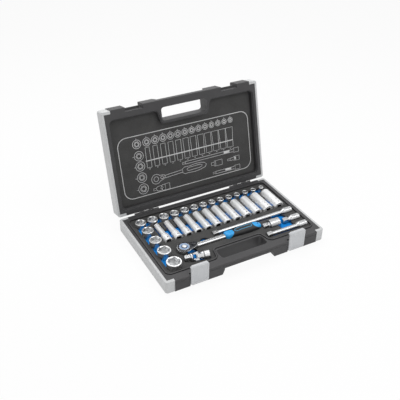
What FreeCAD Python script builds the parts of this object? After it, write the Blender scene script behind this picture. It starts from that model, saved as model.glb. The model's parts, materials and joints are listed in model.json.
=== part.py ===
import FreeCAD, Part
import math
import os

# Half-inch drive socket wrench set in a hinged plastic case, all sizes in millimetres.
# X runs along the case, -Y is the front with the handle, +Z is up.
# The origin is under the middle of the base, on the surface that the case stands on.

# Case
case_width = 470.0
case_depth = 294.0
base_height = 36.0
lid_height = 38.0
parting_gap = 0.4
open_angle = 104.2
corner_radius = 7.0
outer_edge_radius = 4.0
rim_edge_radius = 1.2
floor_thickness = 2.5
wall = 3.0
rim_thickness = 4.0
side_rim = 18.0
front_rim = 28.0
back_rim = 19.0
cavity_corner_radius = 12.0
panel_depth = 0.8
panel_margin = 34.0

# Tongue and groove round the cavity
tongue_width = 2.5
tongue_height = 2.0
groove_width = 2.0
groove_depth = 2.6
tongue_clearance = 0.6
tongue_step_depth = 3.0

# Handle
hand_hole_width = 137.0
hand_hole_depth = 36.0
hand_hole_radius = 8.0
handle_bar_depth = 21.0
handle_bar_height = 19.0
handle_bar_chamfer = 4.0
handle_foot_slope = 7.0
handle_side_room = 4.0
hole_wall = 9.0
bulge_side = 12.0
bulge_slope = 9.0
bulge_radius = 12.0
front_groove_drop = 7.0
front_groove_height = 1.6
front_groove_depth = 1.2

# Silver end caps
cap_wrap = 24.5
cap_wall = 3.0
cap_side_band = 6.4
cap_end_band = 8.0
cap_bottom_band = 13.0
cap_front_step = 1.5
channel_wall = 3.0

# Latches
latch_spacing = 288.0
latch_width = 49.0
latch_thickness = 3.5
latch_bottom = 5.0
latch_proud = 2.5
latch_corner = 4.0
latch_bevel = 2.0
latch_hook_reach = 4.0
latch_hook_height = 5.0
latch_panel_depth = 0.7
latch_panel_margin = 4.5
latch_side_gap = 1.0
latch_axis_height = 10.0
latch_axis_inset = 5.0
latch_boss_radius = 4.0
latch_recess_depth = 10.0
latch_pin_radius = 2.0
latch_pin_hold = 5.0
lid_recess_depth = 11.5
catch_end_gap = 4.5
catch_reach = 5.8
catch_bottom = 16.0
catch_height = 3.6
latch_hook_gap = 1.0

# Hinges
hinge_offset = 2.6
hinge_inner_x = 115.0
knuckle_count = 5
knuckle_length = 14.2
knuckle_gap = 0.4
knuckle_radius = 2.2
knuckle_root = 1.0
hinge_pin_radius = 1.0

# Fits
running_clearance = 0.06
press_clearance = 0.02
foam_fit = 0.4
foam_edge_gap = 0.3
grip_fit = 1.4

# Foam inlays
foam_drop = 3.0
foam_upper_thickness = 6.5
lid_foam_drop = 15.0

# Sockets
drive_square = 12.7
square_clearance = 0.15
square_depth = 15.0
drive_end_wall = 4.65
hex_wall_ratio = 1.2
hex_wall_add = 3.4
socket_chamfer = 0.9
socket_floor = 6.0
socket_step_share = 0.5
short_height = 38.0
tall_short_height = 42.0
tall_short_from = 23
deep_length = 78.0
deep_drive_length = 28.0
deep_groove_width = 2.0
deep_groove_depth = 0.8
deep_axis_drop = 0.5
detent_hole_radius = 1.6
through_bore = 5.5
short_hex_share = 0.72
deep_hex_share = 0.55
back_row_sizes = [22, 21, 20, 19, 18, 17, 16, 15, 14, 13, 12, 11, 10, 9]
left_column_sizes = [23, 24, 27, 30]
deep_sizes = [10, 11, 12, 13, 14, 15, 16, 17, 18, 19, 21, 22]

# Places of the tools in the tray, measured from the cavity walls
row_end_inset = 25.0
back_row_inset = 30.0
column_front_inset = 26.0
deep_left_inset = 62.0
deep_right_inset = 25.0
deep_back_gap = 19.0
row_slot_width = 20.0
column_slot_width = 29.0
deep_slot_width = 39.0
deep_slot_start = 12.0

# Extension bars and adapter
male_length = 15.5
male_chamfer = 1.4
bar_under_square = 0.35
female_wall = 3.65
female_length = 25.0
bar_cone_length = 7.0
female_groove_place = 8.0
female_groove_width = 1.6
female_groove_depth = 0.6
ball_radius = 2.6
ball_proud = 0.7
ball_place = 7.6
long_bar_length = 250.0
medium_bar_length = 125.0
short_bar_length = 52.0
adapter_length = 50.0
adapter_wall = 7.45
adapter_neck_radius = 8.5
adapter_neck_length = 3.0
bar_right_inset = 6.0
long_bar_inset = 56.5
medium_bar_inset = 23.0
short_bar_inset = 19.5
adapter_inset = 22.0
adapter_right_inset = 70.0
finger_well_width = 42.0
finger_well_length = 62.0
finger_well_radius = 14.0

# Universal joint
joint_left_inset = 62.0
joint_inset = 33.0
joint_turn = -9.5
joint_rise = 5.0
yoke_wall = 5.15
yoke_root = 6.5
ear_length = 13.5
ear_half_width = 4.0
ear_inner = 5.6
ear_outer = 10.6
cheek_half_width = 8.0
cheek_gap = 8.5
cross_half = 5.3
cross_half_length = 4.6
cross_pin_radius = 2.4
joint_female_length = 16.5
joint_roll = 45.0
yoke_chamfer = 1.0
yoke_shoulder = 3.0
joint_swing_room = 2.6
joint_fit = 0.8
joint_well_width = 26.0
joint_well_radius = 3.5

# Ratchet
ratchet_left_inset = 81.0
ratchet_head_gap = 12.5
head_wall = 4.3
neck_past_lever = 8.0
neck_half_width = 7.5
head_sunk = 8.0
head_thickness = 17.0
head_floor = 3.0
cover_thickness = 2.0
cover_inset = 2.0
gear_tip_radius = 14.8
gear_clearance = 0.4
gear_teeth = 36
tooth_depth = 1.0
gear_height = 12.0
drive_boss_wall = 3.05
dial_step = 1.4
dial_proud = 0.6
dial_groove_width = 1.6
dial_groove_depth = 0.8
button_radius = 6.0
button_proud = 2.4
button_depth = 6.0
button_travel = 2.0
button_ball_room = 4.55
button_rod_length = 20.0
control_edge = 1.0
lever_gap = 3.2
lever_shaft_radius = 3.4
lever_shaft_length = 12.0
lever_radius = 6.4
lever_thickness = 3.0
lever_tab_length = 9.0
lever_tab_width = 6.0
pawl_reach = 1.2
pawl_length = 5.4
pawl_half_width = 6.5
pawl_room = 1.2
pawl_pin_radius = 1.2
pawl_clearance = 0.7
shaft_width = 14.0
shaft_height = 11.0
shaft_corner = 3.5
shaft_panel_width = 5.0
shaft_panel_depth = 1.6
shaft_panel_start = 42.0
shaft_panel_length = 70.0
handle_rise = 1.5
tang_width = 11.0
tang_height = 8.0
tang_end_gap = 8.0
grip_start = 119.0
grip_front_length = 19.0
grip_end_length = 15.0
grip_lengths = [0.0, 9.0, 23.0, 45.0, 73.0, 98.0, 110.0]
grip_widths = [16.0, 25.0, 22.0, 26.0, 27.0, 24.0, 14.0]
grip_heights = [14.0, 21.0, 19.0, 21.5, 22.0, 20.0, 12.0]
grip_corner_share = 0.38
hang_hole_radius = 2.6
hang_hole_inset = 8.0
thumb_well_radius = 12.0
thumb_well_place = 65.0
thumb_well_offset = 11.0

# Places worked out from the sizes above
half_width = case_width / 2
half_depth = case_depth / 2
rim_height = base_height
lid_rim_height = base_height + parting_gap
cavity_x = half_width - side_rim
cavity_front = -half_depth + front_rim
cavity_back = half_depth - back_rim
hole_half = hand_hole_width / 2
hole_front = -half_depth + handle_bar_depth
hole_back = hole_front + hand_hole_depth
bulge_back = hole_back + hole_wall
hinge_y = half_depth + hinge_offset
hinge_z = base_height + parting_gap / 2
foam_top = rim_height - foam_drop
foam_split = foam_top - foam_upper_thickness
cap_front = -half_depth + cap_front_step
latch_front = -half_depth - latch_proud
latch_axis_y = -half_depth + latch_axis_inset
latch_centres = [-latch_spacing / 2, latch_spacing / 2]
latch_top = lid_rim_height + catch_bottom + catch_height + latch_hook_gap + latch_hook_height
drive_end_diameter = drive_square + 2 * drive_end_wall
bar_radius = drive_square / 2 - bar_under_square
female_radius = drive_square / 2 + female_wall
adapter_radius = drive_square / 2 + adapter_wall
yoke_radius = drive_square / 2 + yoke_wall
drive_boss_radius = drive_square / 2 + drive_boss_wall
button_rod_radius = drive_square / 2 - button_ball_room
gear_bore_radius = gear_tip_radius + gear_clearance
head_radius = gear_bore_radius + head_wall
dial_radius = gear_tip_radius - dial_step
pawl_start = gear_tip_radius + pawl_reach
pawl_pivot = pawl_start + pawl_length / 2
lever_place = pawl_start + pawl_length + lever_gap + lever_shaft_radius
neck_reach = lever_place + neck_past_lever
head_bottom = foam_top - head_sunk
handle_height = foam_top + handle_rise
bar_lengths = {"long": long_bar_length, "medium": medium_bar_length, "short": short_bar_length}

# How far cutting shapes reach past the surfaces that they cut
past = 1.0
tall = 200.0
shortest_edge = 0.001

X_AXIS = FreeCAD.Vector(1, 0, 0)
Y_AXIS = FreeCAD.Vector(0, 1, 0)
Z_AXIS = FreeCAD.Vector(0, 0, 1)
ORIGIN = FreeCAD.Vector(0, 0, 0)


def point(x, y, z=0.0):
    return FreeCAD.Vector(x, y, z)


def box(x0, x1, y0, y1, z0, z1):
    return Part.makeBox(x1 - x0, y1 - y0, z1 - z0, point(x0, y0, z0))


def rod(radius, start, direction, length):
    return Part.makeCylinder(radius, length, start, direction)


def rounded_wire(corners, radii, z):
    """Closed outline through the corners, each rounded by its own radius."""
    edges = []
    starts = []
    ends = []
    middles = []
    count = len(corners)
    for i in range(count):
        corner = point(*corners[i], z)
        before = (point(*corners[i - 1], z) - corner).normalize()
        after = (point(*corners[(i + 1) % count], z) - corner).normalize()
        half = math.acos(before.dot(after)) / 2
        inward = (before + after).normalize()
        reach = radii[i] / math.tan(half)
        starts.append(corner + before * reach)
        ends.append(corner + after * reach)
        middles.append(corner + inward * (radii[i] / math.sin(half) - radii[i]))
    for i in range(count):
        if (starts[i] - ends[i - 1]).Length > shortest_edge:
            edges.append(Part.LineSegment(ends[i - 1], starts[i]).toShape())
        if radii[i] > 0:
            edges.append(Part.Arc(starts[i], middles[i], ends[i]).toShape())
    return Part.Wire(edges)


def prism(wire, height):
    return Part.Face(wire).extrude(point(0, 0, height))


def rounded_box(x0, x1, y0, y1, z0, z1, radius):
    corners = [(x0, y0), (x1, y0), (x1, y1), (x0, y1)]
    return prism(rounded_wire(corners, [radius] * 4, z0), z1 - z0)


def profile_x(outline, x0, x1):
    """Solid with the given (y, z) outline, running from x0 to x1."""
    points = [point(x0, y, z) for y, z in outline]
    wire = Part.makePolygon(points + points[:1])
    return Part.Face(wire).extrude(point(x1 - x0, 0, 0))


def profile_y(outline, y0, y1):
    """Solid with the given (x, z) outline, running from y0 to y1."""
    points = [point(x, y0, z) for x, z in outline]
    wire = Part.makePolygon(points + points[:1])
    return Part.Face(wire).extrude(point(0, y1 - y0, 0))


def turned(profile):
    """Solid turned about X from (x, radius) points, closed along the axis."""
    points = [point(profile[0][0], 0)]
    points += [point(x, r) for x, r in profile]
    points += [point(profile[-1][0], 0)]
    wire = Part.makePolygon(points + points[:1])
    return Part.Face(wire).revolve(ORIGIN, X_AXIS, 360)


def joined(first, others):
    return first.fuse(others).removeSplitter()


def cavity_wire(offset, z):
    """Outline of the tray cavity, moved outwards by offset, drawn in round the hand hole."""
    x = cavity_x + offset
    front = cavity_front - offset
    back = cavity_back + offset
    bulge = bulge_back - offset
    run = math.hypot(bulge_slope, bulge_back - cavity_front)
    shift = offset * (run - bulge_slope) / (bulge_back - cavity_front)
    outer = hole_half + bulge_side - shift
    inner = outer - bulge_slope
    corners = [(-x, back), (-x, front), (-outer, front), (-inner, bulge)]
    corners += [(inner, bulge), (outer, front), (x, front), (x, back)]
    corner = cavity_corner_radius + offset
    swell = bulge_radius + offset
    neck = bulge_radius - offset
    return rounded_wire(corners, [corner, corner, swell, neck, neck, swell, corner, corner], z)


def outer_block(height, front):
    """Full outside of one half of the case, its rim upwards, from the given front face back."""
    block = rounded_box(-half_width, half_width, front, half_depth, 0, height, corner_radius)
    bottom = [e for e in block.Edges if e.BoundBox.ZMax < height / 2]
    block = block.makeFillet(outer_edge_radius, bottom)
    top = [e for e in block.Edges if e.BoundBox.ZMin > height - rim_edge_radius]
    return block.makeFillet(rim_edge_radius, top)


def cap_start():
    return half_width - cap_wrap


def hand_cuts(height):
    """Hand hole and the space under the handle bar."""
    hole = rounded_box(-hole_half, hole_half, hole_front, hole_back, -past, height + past, hand_hole_radius)
    under = height - handle_bar_height
    chamfer = handle_bar_chamfer
    front = -half_depth
    lip = under + chamfer + past
    outline = [(front - past, -past), (front - past, lip), (front + chamfer, under)]
    outline += [(hole_front - chamfer, under), (hole_front + past, lip), (hole_front + past, -past)]
    side = hole_half + handle_side_room
    below = profile_x(outline, -side, side)
    foot = side + handle_foot_slope
    feet = profile_y([(-foot, -past), (-side, under), (side, under), (foot, -past)], front - past, hole_front)
    return [hole, below, feet]


def wall_channels(height):
    """Hollows inside the thick front and back walls, open at the ends under the caps."""
    low = floor_thickness + channel_wall
    high = height - rim_thickness
    back = box(-half_width, half_width, cavity_back + wall, half_depth - wall, low, high)
    inner = hole_half + bulge_side + bulge_radius
    y0 = -half_depth + max(latch_recess_depth, lid_recess_depth) + wall
    y1 = cavity_front - wall
    left = box(-half_width, -inner, y0, y1, low, high)
    right = box(inner, half_width, y0, y1, low, high)
    return [back, left, right]


def shell_half(height):
    """Moulded tray half with its rim, before the parts that differ between base and lid."""
    start = cap_start()
    body = outer_block(height, -half_depth).common(box(-start, start, -half_depth, half_depth, 0, height))
    end_x = cavity_x + wall
    low = height - rim_thickness
    ends = box(-end_x, end_x, cap_front + cap_wall, half_depth - cap_wall, 0, low)
    flange_x = half_width - cap_side_band
    flange = box(-flange_x, flange_x, cap_front + cap_end_band, half_depth - cap_end_band, low, height)
    body = joined(body, [ends, flange])
    cuts = [prism(cavity_wire(0, floor_thickness), height)]
    cuts += hand_cuts(height)
    cuts += wall_channels(height)
    top = height - front_groove_drop
    front = -half_depth
    low = top - front_groove_height
    cuts.append(box(-start, start, front - past, front + front_groove_depth, low, top))
    return body.cut(cuts)


def end_cap(height):
    """Silver cap round the right end of one half of the case."""
    start = cap_start()
    cap = outer_block(height, cap_front).common(box(start, half_width, cap_front, half_depth, 0, height))
    front = cap_front + cap_wall
    back = half_depth - cap_wall
    top = height - cap_wall
    cuts = [box(0, half_width - cap_wall, front, back, cap_wall, top)]
    cuts.append(box(0, half_width - cap_bottom_band, front, back, -past, top))
    front = cap_front + cap_end_band
    back = half_depth - cap_end_band
    cuts.append(box(0, half_width - cap_side_band, front, back, cap_wall, height + past))
    return cap.cut(cuts)


def latch_recesses(depth, z0, z1):
    reach = latch_width / 2 + latch_side_gap
    front = -half_depth
    return [box(x - reach, x + reach, front - past, front + depth, z0, z1) for x in latch_centres]


def knuckle_spans(first):
    """X spans of every second knuckle on both hinges, starting with the given one."""
    spans = []
    for i in range(first, knuckle_count, 2):
        x0 = hinge_inner_x + i * (knuckle_length + knuckle_gap)
        spans.append((x0, x0 + knuckle_length))
        spans.append((-x0 - knuckle_length, -x0))
    return spans


def knuckles(first, web_low, web_high):
    solids = []
    for x0, x1 in knuckle_spans(first):
        solids.append(rod(knuckle_radius, point(x0, hinge_y, hinge_z), X_AXIS, x1 - x0))
        solids.append(box(x0, x1, half_depth - knuckle_root, hinge_y, web_low, web_high))
    return solids


def hinge_bores(clearance):
    length = knuckle_count * (knuckle_length + knuckle_gap)
    radius = hinge_pin_radius + clearance
    bores = []
    for x0 in (hinge_inner_x, -hinge_inner_x - length):
        bores.append(rod(radius, point(x0 - past, hinge_y, hinge_z), X_AXIS, length + 2 * past))
    return bores


def base_shell():
    shell = shell_half(base_height)
    tongue = prism(cavity_wire(tongue_width, rim_height - rim_thickness), rim_thickness + tongue_height)
    tongue = tongue.cut(prism(cavity_wire(0, 0), tall))
    groove = prism(cavity_wire(tongue_width + groove_width, rim_height - groove_depth), tall)
    groove = groove.cut(prism(cavity_wire(tongue_width, 0), tall))
    shell = shell.cut(latch_recesses(latch_recess_depth, -past, base_height + past))
    shell = shell.cut(groove)
    shell = joined(shell, [tongue] + knuckles(0, hinge_z - knuckle_radius, hinge_z))
    cuts = hinge_bores(press_clearance)
    reach = latch_width / 2 + latch_side_gap + latch_pin_hold
    for x in latch_centres:
        start = point(x - reach, latch_axis_y, latch_axis_height)
        cuts.append(rod(latch_pin_radius + press_clearance, start, X_AXIS, 2 * reach))
    return shell.cut(cuts)


def turn_over(shape):
    """Half built rim upwards, turned over to lie on the base."""
    flipped = shape.mirror(ORIGIN, Z_AXIS)
    flipped.translate(point(0, 0, lid_rim_height + lid_height))
    return flipped


def opened(shape):
    """Lid piece in its closed place, swung to the open place."""
    return shape.rotated(point(0, hinge_y, hinge_z), X_AXIS, -open_angle)


def lid_shell():
    shell = shell_half(lid_height)
    step = prism(cavity_wire(tongue_width + tongue_clearance, lid_height - tongue_step_depth), tall)
    cuts = [step] + latch_recesses(lid_recess_depth, -past, lid_height + past)
    x = cavity_x - panel_margin
    y0 = bulge_back + panel_margin
    y1 = cavity_back - panel_margin
    panel = rounded_box(-x, x, y0, y1, -past, panel_depth, cavity_corner_radius)
    shell = turn_over(shell.cut(cuts + [panel]))
    added = knuckles(1, hinge_z, hinge_z + knuckle_radius)
    floor_y = -half_depth + lid_recess_depth
    for x in latch_centres:
        z0 = lid_rim_height + catch_bottom
        half = latch_width / 2 - catch_end_gap
        added.append(box(x - half, x + half, floor_y - catch_reach, floor_y, z0, z0 + catch_height))
    shell = joined(shell, added)
    return shell.cut(hinge_bores(running_clearance))


def latch(centre):
    half = latch_width / 2
    back = latch_front + latch_thickness
    hook = latch_top - latch_hook_height
    outline = [(latch_front, latch_bottom), (latch_front, latch_top - latch_bevel)]
    outline += [(latch_front + latch_bevel, latch_top)]
    outline += [(back + latch_hook_reach, latch_top), (back + latch_hook_reach, hook), (back, hook)]
    outline += [(back, latch_bottom)]
    plate = profile_x(outline, centre - half, centre + half)
    c = latch_corner
    low, high = latch_bottom, latch_top
    face = [(-half + c, low), (half - c, low), (half, low + c), (half, high - c), (half - c, high)]
    face += [(-half + c, high), (-half, high - c), (-half, low + c)]
    trim = profile_y([(centre + x, z) for x, z in face], latch_front - past, latch_axis_y + tall)
    boss = rod(latch_boss_radius, point(centre - half, latch_axis_y, latch_axis_height), X_AXIS, latch_width)
    z0 = latch_axis_height - latch_boss_radius
    web = box(centre - half, centre + half, back - past, latch_axis_y, z0, z0 + 2 * latch_boss_radius)
    plate = joined(plate.common(trim), [boss, web])
    m = latch_panel_margin
    panel = rounded_panel(centre, half - m, latch_bottom + m, latch_top - m - latch_hook_height)
    start = point(centre - half - past, latch_axis_y, latch_axis_height)
    bore = rod(latch_pin_radius + running_clearance, start, X_AXIS, latch_width + 2 * past)
    return plate.cut([panel, bore])


def rounded_panel(centre, half, z0, z1):
    """Shallow sunk field in a latch's front face."""
    outline = [(-half, z0), (half, z0), (half, z1), (-half, z1)]
    wire = rounded_wire(outline, [latch_corner] * 4, 0)
    field = prism(wire, latch_panel_depth + past)
    field.rotate(ORIGIN, X_AXIS, 90)
    field.translate(point(centre, latch_front + latch_panel_depth, 0))
    return field


def latch_pins():
    reach = latch_width / 2 + latch_side_gap + latch_pin_hold
    starts = [point(x - reach, latch_axis_y, latch_axis_height) for x in latch_centres]
    return [rod(latch_pin_radius, start, X_AXIS, 2 * reach) for start in starts]


def hinge_pins():
    length = knuckle_count * (knuckle_length + knuckle_gap) - knuckle_gap
    starts = [hinge_inner_x, -hinge_inner_x - length]
    return [rod(hinge_pin_radius, point(x, hinge_y, hinge_z), X_AXIS, length) for x in starts]


def outer_diameter(size):
    return hex_wall_add + hex_wall_ratio * size


def widest(size):
    return max(outer_diameter(size), drive_end_diameter)


def hex_prism(size, z0, height):
    """Hexagon with flats facing front and back."""
    radius = size / math.sqrt(3)
    angles = [math.radians(60 * i) for i in range(6)]
    points = [point(radius * math.cos(a), radius * math.sin(a), z0) for a in angles]
    return prism(Part.makePolygon(points + points[:1]), height)


def square_prism(side, z0, height):
    return box(-side / 2, side / 2, -side / 2, side / 2, z0, z0 + height)


def short_hex_depth(size):
    return size * short_hex_share


def deep_hex_depth():
    return deep_length * deep_hex_share


def socket_bore(size, height, depth):
    """Hexagon mouth, through bore and square drive hole of a socket standing on its drive end."""
    mouth = hex_prism(size, height - depth, depth + past)
    corner = size / math.sqrt(3)
    c = socket_chamfer
    lead = Part.makeCone(size / 2, corner + c, 2 * c, point(0, 0, height - c))
    square = square_prism(drive_square + square_clearance, -past, square_depth + past)
    bore = rod(min(through_bore, size / 2), point(0, 0, 0), Z_AXIS, height)
    return [mouth, lead, square, bore]


def upright(profile):
    """Turned shape standing on the XY plane, from (z, radius) points."""
    return turned(profile).rotated(ORIGIN, Y_AXIS, -90)


def short_socket(size):
    height = short_socket_height(size)
    top = outer_diameter(size) / 2
    foot = widest(size) / 2
    c = socket_chamfer
    profile = [(0, foot - c), (c, foot)]
    if foot > top:
        step = height * socket_step_share
        profile += [(step - (foot - top), foot), (step, top)]
    profile += [(height - c, top), (height, top - c)]
    return upright(profile).cut(socket_bore(size, height, short_hex_depth(size)))


def short_socket_height(size):
    return tall_short_height if size >= tall_short_from else short_height


def deep_socket(size):
    """Deep socket standing on its drive end, with the groove that marks the drive part."""
    top = outer_diameter(size) / 2
    foot = widest(size) / 2
    c = socket_chamfer
    g = deep_groove_depth
    start = deep_drive_length - deep_groove_width
    profile = [(0, foot - c), (c, foot), (start - g, foot), (start, foot - g)]
    profile += [(deep_drive_length, foot - g)]
    if foot > top:
        profile += [(deep_drive_length + foot - top, top)]
    else:
        profile += [(deep_drive_length + g, foot)]
    profile += [(deep_length - c, top), (deep_length, top - c)]
    hole = rod(detent_hole_radius, point(0, 0, square_depth / 2), -Y_AXIS, foot + past)
    return upright(profile).cut(socket_bore(size, deep_length, deep_hex_depth()) + [hole])


def row_places(sizes, start, end):
    """Centres along a row, with the same gap between neighbours of different width."""
    steps = [(widest(a) + widest(b)) / 2 for a, b in zip(sizes, sizes[1:])]
    gap = (abs(end - start) - sum(steps)) / len(steps)
    sign = 1 if end > start else -1
    places = [start]
    for step in steps:
        places.append(places[-1] + sign * (step + gap))
    return places


def short_places():
    """Size and (x, y) of every short socket."""
    row_y = cavity_back - back_row_inset
    x0 = -cavity_x + row_end_inset
    places = list(zip(back_row_sizes, [(x, row_y) for x in row_places(back_row_sizes, x0, -x0)]))
    column = [back_row_sizes[0]] + left_column_sizes
    ys = row_places(column, row_y, cavity_front + column_front_inset)
    left = x0 - widest(back_row_sizes[0]) / 2
    places += [(size, (left + widest(size) / 2, y)) for size, y in zip(left_column_sizes, ys[1:])]
    return places


def deep_places():
    """Size and (x, front y, axis z) of every deep socket."""
    front = cavity_back - back_row_inset - deep_back_gap - deep_length
    xs = row_places(deep_sizes, -cavity_x + deep_left_inset, cavity_x - deep_right_inset)
    return [(size, (x, front, foam_top - deep_axis_drop)) for size, x in zip(deep_sizes, xs)]


def male_square(length):
    """Square drive end with a bevelled tip, starting at x = 0."""
    side = drive_square / 2
    c = male_chamfer
    block = box(0, length, -side, side, -side, side)
    corner = side * math.sqrt(2) - c / 2
    tip = turned([(0, side), (2 * c, corner), (length, corner)])
    return block.common(tip)


def ball_seat(clearance):
    """Detent ball in the top of a square drive end, or its seat with a clearance."""
    centre = point(ball_place, 0, drive_square / 2 + ball_proud - ball_radius)
    return Part.makeSphere(ball_radius + clearance, centre)


def ball_bore():
    low = drive_square / 2 + ball_proud - ball_radius
    return rod(ball_radius + press_clearance, point(ball_place, 0, low), Z_AXIS, tall)


def square_end(body, length):
    """Tool body with a square drive end let in at x = 0, seated ball included."""
    tool = joined(male_square(length), [body])
    return tool.cut([ball_seat(press_clearance), ball_bore()])


def female_square(end, depth):
    side = (drive_square + square_clearance) / 2
    return box(end - depth, end + past, -side, side, -side, side)


def extension_bar(length):
    """Bar along X with its square end at x = 0, and its ball."""
    cone = length - female_length - bar_cone_length
    c = socket_chamfer
    groove = length - female_groove_place
    g = female_groove_depth
    w = female_groove_width
    profile = [(male_length - c, bar_radius - c), (male_length, bar_radius), (cone, bar_radius)]
    profile += [(cone + bar_cone_length, female_radius), (groove - w - g, female_radius)]
    profile += [(groove - w, female_radius - g), (groove, female_radius - g), (groove + g, female_radius)]
    profile += [(length - c, female_radius), (length, female_radius - c)]
    bar = square_end(turned(profile), male_length)
    return [bar.cut(female_square(length, square_depth)), ball_seat(0)]


def adapter():
    """Square adapter along X with its square end at x = 0, and its ball."""
    c = socket_chamfer
    neck = male_length + adapter_neck_length
    groove = adapter_length - female_groove_place
    g = female_groove_depth
    w = female_groove_width
    profile = [(male_length - c, adapter_neck_radius), (neck, adapter_neck_radius)]
    profile += [(neck + c, adapter_radius), (groove - w - g, adapter_radius)]
    profile += [(groove - w, adapter_radius - g), (groove, adapter_radius - g), (groove + g, adapter_radius)]
    profile += [(adapter_length - c, adapter_radius), (adapter_length, adapter_radius - c)]
    body = square_end(turned(profile), male_length)
    return [body.cut(female_square(adapter_length, square_depth)), ball_seat(0)]


def bar_place(length, inset):
    """Left end of a bar that stops near the right wall, lying with half its body in the foam."""
    return point(cavity_x - bar_right_inset - length, cavity_front + inset, foam_top)


def bar_places():
    long_bar = bar_place(long_bar_length, bulge_back - cavity_front + long_bar_inset)
    medium_bar = bar_place(medium_bar_length, medium_bar_inset)
    short_bar = bar_place(short_bar_length, bulge_back - cavity_front + short_bar_inset)
    return {"long": long_bar, "medium": medium_bar, "short": short_bar}


def adapter_place():
    return point(cavity_x - adapter_right_inset - adapter_length, bulge_back + adapter_inset, foam_top)


def moved(shape, place):
    return shape.translated(place)


def ears(start):
    """Two ears of a yoke, either side of the cross, wide at the start and narrow round the pivot."""
    pivot = joint_pivot()
    cheek_end = pivot + math.copysign(cheek_gap, start - pivot)
    solids = []
    for side in (-1, 1):
        y0, y1 = sorted((side * ear_inner, side * ear_outer))
        x0, x1 = sorted((start, pivot))
        arm = box(x0, x1, y0, y1, -ear_half_width, ear_half_width)
        tip = rod(ear_half_width, point(pivot, y0, 0), Y_AXIS, y1 - y0)
        x0, x1 = sorted((start, cheek_end))
        cheek = box(x0, x1, y0, y1, -cheek_half_width, cheek_half_width)
        solids += [arm, tip, cheek]
    return solids


def fork(profile, start):
    """Turned yoke with its ears, kept within the yoke's round outside."""
    outside = rod(yoke_radius, ORIGIN, X_AXIS, joint_length())
    return joined(turned(profile), ears(start)).common(outside).cut(pin_bore(running_clearance))


def joint_pivot():
    return male_length + yoke_root + ear_length


def joint_length():
    return joint_pivot() + ear_length + joint_female_length


def pin_bore(clearance):
    return rod(cross_pin_radius + clearance, point(joint_pivot(), -tall / 2, 0), Y_AXIS, tall)


def drive_yoke():
    """Yoke with the square end, and its ball."""
    c = yoke_chamfer
    root = male_length + yoke_root
    profile = [(male_length, yoke_radius - c), (male_length + c, yoke_radius)]
    profile += [(root - yoke_shoulder, yoke_radius), (root, yoke_radius - yoke_shoulder)]
    yoke = fork(profile, root).rotated(ORIGIN, X_AXIS, joint_roll)
    return [square_end(yoke, male_length + c), ball_seat(0)]


def socket_yoke():
    c = yoke_chamfer
    root = joint_pivot() + ear_length
    end = joint_length()
    profile = [(root, yoke_radius - yoke_shoulder), (root + yoke_shoulder, yoke_radius)]
    profile += [(end - c, yoke_radius), (end, yoke_radius - c)]
    yoke = fork(profile, root).rotated(ORIGIN, X_AXIS, joint_roll + 90)
    return yoke.cut(female_square(end, joint_female_length - c))


def joint_cross():
    x = joint_pivot()
    h = cross_half
    block = box(x - cross_half_length, x + cross_half_length, -h, h, -h, h)
    pin = rod(cross_pin_radius, point(x, -ear_outer, 0), Y_AXIS, 2 * ear_outer)
    cross = joined(block, [pin, pin.rotated(ORIGIN, X_AXIS, 90)])
    return cross.rotated(ORIGIN, X_AXIS, joint_roll)


def joint_place():
    return point(-cavity_x + joint_left_inset, cavity_front + joint_inset, foam_top + joint_rise)


def joint_point(along):
    """Place on the universal joint's axis, at a distance from its square end."""
    return FreeCAD.Rotation(Z_AXIS, joint_turn).multVec(point(along, 0)) + joint_place()


def in_joint_place(shape):
    return shape.rotated(ORIGIN, Z_AXIS, joint_turn).translated(joint_place())


def head_wire(grow, z):
    """Teardrop outline of the ratchet head, running out into the neck."""
    radius = head_radius + grow
    half = neck_half_width + grow
    reach = math.hypot(neck_reach, half)
    angle = math.atan2(half, neck_reach) + math.acos(radius / reach)
    upper = point(radius * math.cos(angle), radius * math.sin(angle), z)
    lower = point(upper.x, -upper.y, z)
    far = point(-radius, 0, z)
    neck_up = point(neck_reach, half, z)
    neck_down = point(neck_reach, -half, z)
    edges = [Part.Arc(upper, far, lower).toShape(), Part.LineSegment(lower, neck_down).toShape()]
    edges += [Part.LineSegment(neck_down, neck_up).toShape(), Part.LineSegment(neck_up, upper).toShape()]
    return Part.Wire(edges)


def head_top():
    return head_bottom + head_thickness


def bar_section(width, height, corner, x):
    """Rounded rectangle across the handle, as a wire at the given x."""
    corners = [(-width / 2, -height / 2), (width / 2, -height / 2)]
    corners += [(width / 2, height / 2), (-width / 2, height / 2)]
    wire = rounded_wire(corners, [corner] * 4, 0)
    wire.rotate(ORIGIN, X_AXIS, 90)
    wire.rotate(ORIGIN, Z_AXIS, 90)
    wire.translate(point(x, 0, handle_height))
    return wire


def tang():
    end = grip_start + grip_lengths[-1] - tang_end_gap - 2 * hang_hole_inset
    section = Part.Face(bar_section(tang_width, tang_height, shaft_corner, grip_start))
    return section.extrude(point(end - grip_start, 0, 0))


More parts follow.
